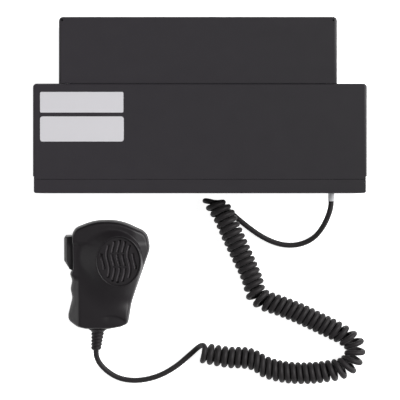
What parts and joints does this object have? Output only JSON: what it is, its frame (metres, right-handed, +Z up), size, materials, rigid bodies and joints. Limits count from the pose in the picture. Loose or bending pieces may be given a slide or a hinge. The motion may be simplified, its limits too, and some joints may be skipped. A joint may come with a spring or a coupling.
{
  "type": "emergency paging microphone",
  "caption": "T-shaped dark sheet-steel paging housing with an open front bay, a curly cord and a black fist microphone with a talk bar lying in front of it.",
  "frame": {"origin": "underside of the housing, middle of its depth and of the hood's width", "axes": "+Z up, +Y from the open front toward the rear, +X to the right seen from the front"},
  "size_m": [0.307, 0.3409, 0.0636],
  "materials": {
    "housing_paint": "satin charcoal powder coat",
    "inner_paint": "satin charcoal powder coat, inside",
    "label_film": "light grey printed film, bare",
    "screw_black": "black oxide",
    "screw_zinc": "zinc plated",
    "hanger_steel": "zinc-plated steel",
    "ferrule_grey": "light grey",
    "bushing_black": "black nylon",
    "grommet_rubber": "black rubber",
    "cord_jacket": "satin black jacket",
    "lead_jacket": "black jacket",
    "board_green": "solder-masked glass-fibre board",
    "standoff_metal": "turned",
    "terminal_plastic": "green moulding",
    "transformer_body": "varnished core",
    "capacitor_can": "sleeved can",
    "connector_plastic": "black moulding",
    "earth_brass": "bright",
    "mic_plastic": "satin black, fine grain",
    "mic_back_plastic": "satin black, fine grain",
    "grille_metal": "satin black",
    "foam_dark": "open-cell foam",
    "seat_rubber": "soft black",
    "capsule_metal": "satin",
    "bar_plastic": "satin black",
    "pin_steel": "ground",
    "switch_plastic": "black",
    "plunger_plastic": "red",
    "stud_steel": "plated",
    "boot_rubber": "satin black"
  },
  "bodies": {
    "body": {"chassis": "housing_paint", "hood": "housing_paint", "bulkhead": "inner_paint", "rear_box": "housing_paint", "rear_cover": "housing_paint", "hood_screws": "screw_black", "cover_screws": "screw_black", "bulkhead_screws": "screw_zinc", "mic_hanger": "hanger_steel", "hanger_rivets": "hanger_steel", "cord_bushing": "bushing_black", "cord_ferrule": "ferrule_grey", "lead_grommet": "grommet_rubber", "inner_lead": "lead_jacket", "circuit_board": "board_green", "board_standoffs": "standoff_metal", "board_screws": "screw_zinc", "terminal_block": "terminal_plastic", "coupling_transformer": "transformer_body", "capacitors": "capacitor_can", "field_connector": "connector_plastic", "earth_stud": "earth_brass", "mic_front_shell": "mic_plastic", "mic_back_shell": "mic_back_plastic", "mic_grille": "grille_metal", "windscreen_foam": "foam_dark", "capsule_seat": "seat_rubber", "mic_capsule": "capsule_metal", "talk_bar_pin": "pin_steel", "talk_switch": "switch_plastic", "mic_board": "board_green", "shell_screws": "screw_zinc", "hangup_stud": "stud_steel", "cord_boot": "boot_rubber", "cord_clamp": "bushing_black", "cord_tail_housing": "cord_jacket", "cord_coil": "cord_jacket", "cord_tail_mic": "cord_jacket", "label_upper": "label_film", "label_lower": "label_film"},
    "talk_bar": {"talk_bar": "bar_plastic"},
    "plunger": {"switch_plunger": "plunger_plastic"}
  },
  "joints": [
    {"name": "talk_bar_press", "type": "hinge", "parent": "body", "child": "talk_bar", "pos_m": [-0.1149, -0.14838, 0.02056], "axis": [0, -0.1052, 0.9944], "range_deg": [-4, 0], "stiffness_Nm_per_rad": 0.4, "springref_deg": 5.73},
    {"name": "plunger_slide", "type": "slide", "parent": "body", "child": "plunger", "axis": [1, 0, 0], "range_m": [0, 0.0016]}
  ],
  "couplings": [
    {"joint": "plunger_slide", "follows": "talk_bar_press", "m_per_rad": -0.0176}
  ]
}
